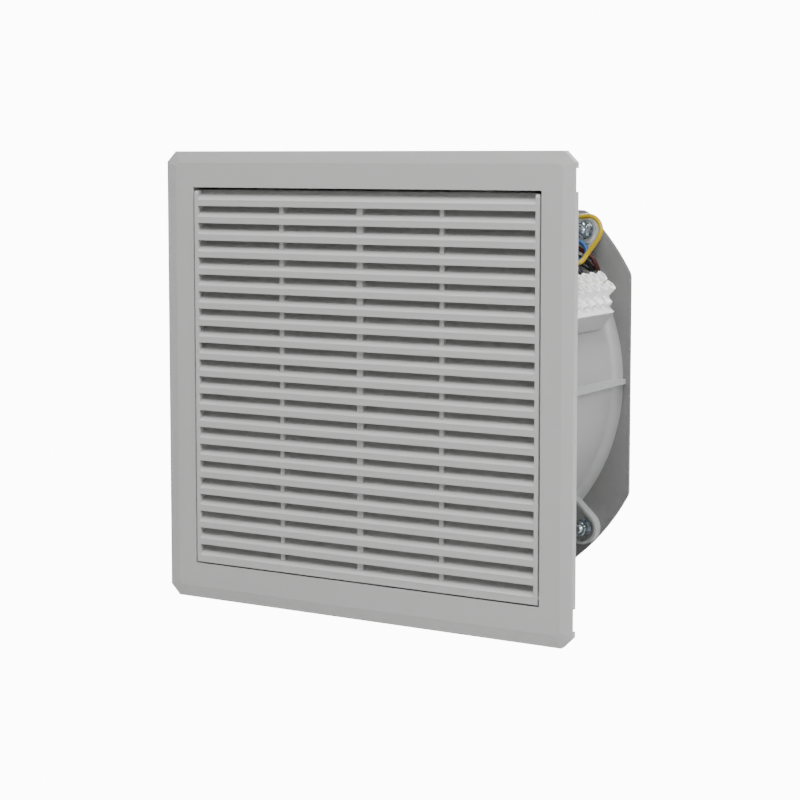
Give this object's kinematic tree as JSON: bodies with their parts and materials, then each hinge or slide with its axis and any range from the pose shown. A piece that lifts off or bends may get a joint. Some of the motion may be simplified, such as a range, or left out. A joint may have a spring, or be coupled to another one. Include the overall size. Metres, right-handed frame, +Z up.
{
  "type": "enclosure filter fan",
  "caption": "Louvred filter fan for a square cut-out in an enclosure wall: hinged slatted cover, filter mat, round duct, guarded external rotor fan and terminal block.",
  "frame": {"origin": "centre of the flange's rear face, which seats on the enclosure wall", "axes": "+Y into the enclosure along the fan's axis, +X to the right seen from the front, +Z up"},
  "size_m": [0.323, 0.1611, 0.323],
  "materials": {
    "pale_plastic": "fine texture",
    "cover_plastic": "fine texture",
    "gasket_foam": "matt",
    "filter_fibre": "matt",
    "clip_plastic": "satin",
    "plate_paint": "satin",
    "guard_paint": "satin",
    "zinc": "bright zinc plate",
    "steel": "turned",
    "motor_cast": "cast",
    "bearing_steel": "ground",
    "core_steel": "stacked sheet",
    "copper_wire": "enamelled",
    "rotor_paint": "satin",
    "blade_plastic": "satin",
    "terminal_white": "satin",
    "clamp_brass": "plated",
    "black_rubber": "matt",
    "black_nylon": "satin",
    "cable_sheath": "matt",
    "earth_insulation": "satin",
    "blue_insulation": "satin",
    "brown_insulation": "satin",
    "black_insulation": "satin"
  },
  "bodies": {
    "housing": {"front_frame": "pale_plastic", "panel_gasket": "gasket_foam", "filter_mat": "filter_fibre", "filter_grid": "pale_plastic", "clip_pins": "steel", "fan_duct": "pale_plastic", "duct_screws": "zinc", "nut_plate": "terminal_white", "wall_plate": "plate_paint", "guard_grille": "guard_paint", "fan_bolts": "zinc", "plain_washers": "zinc", "lock_washers": "zinc", "fan_nuts": "zinc", "motor_flange": "motor_cast", "motor_screws": "zinc", "front_bearing": "bearing_steel", "rear_bearing": "bearing_steel", "stator_core": "core_steel", "stator_windings": "copper_wire", "terminal_block": "terminal_white", "clamp_tubes": "clamp_brass", "clamp_screws": "zinc", "block_screws": "zinc", "cable_grommet": "black_rubber", "cable_bush": "black_rubber", "cable_ties": "black_nylon", "motor_cable": "cable_sheath", "earth_lead": "earth_insulation", "blue_lead": "blue_insulation", "brown_lead": "brown_insulation", "black_lead": "black_insulation"},
    "cover": {"louvre_cover": "cover_plastic"},
    "rotor": {"rotor_can": "rotor_paint", "rotor_ring": "core_steel", "motor_shaft": "steel", "shaft_clip": "steel", "impeller": "blade_plastic"},
    "spring_clip_1": {"spring_clip_1": "clip_plastic"},
    "spring_clip_2": {"spring_clip_2": "clip_plastic"},
    "spring_clip_3": {"spring_clip_3": "clip_plastic"},
    "spring_clip_4": {"spring_clip_4": "clip_plastic"}
  },
  "joints": [
    {"name": "cover_hinge", "type": "hinge", "parent": "housing", "child": "cover", "pos_m": [0, -0.0038, -0.13065], "axis": [1, 0, 0], "range_deg": [0, 90]},
    {"name": "impeller_spin", "type": "hinge", "parent": "housing", "child": "rotor", "pos_m": [0, 0.11, 0], "axis": [0, 1, 0], "continuous": true},
    {"name": "clip_press_1", "type": "hinge", "parent": "housing", "child": "spring_clip_1", "pos_m": [-0.085, 0.026, 0.14275], "axis": [1, 0, 0], "range_deg": [0, 7], "stiffness_Nm_per_rad": 2, "springref_deg": -2.86},
    {"name": "clip_press_2", "type": "hinge", "parent": "housing", "child": "spring_clip_2", "pos_m": [0.085, 0.026, 0.14275], "axis": [1, 0, 0], "range_deg": [0, 7], "stiffness_Nm_per_rad": 2, "springref_deg": -2.86},
    {"name": "clip_press_3", "type": "hinge", "parent": "housing", "child": "spring_clip_3", "pos_m": [-0.085, 0.026, -0.14275], "axis": [-1, 0, 0], "range_deg": [0, 7], "stiffness_Nm_per_rad": 2, "springref_deg": -2.86},
    {"name": "clip_press_4", "type": "hinge", "parent": "housing", "child": "spring_clip_4", "pos_m": [0.085, 0.026, -0.14275], "axis": [-1, 0, 0], "range_deg": [0, 7], "stiffness_Nm_per_rad": 2, "springref_deg": -2.86}
  ]
}
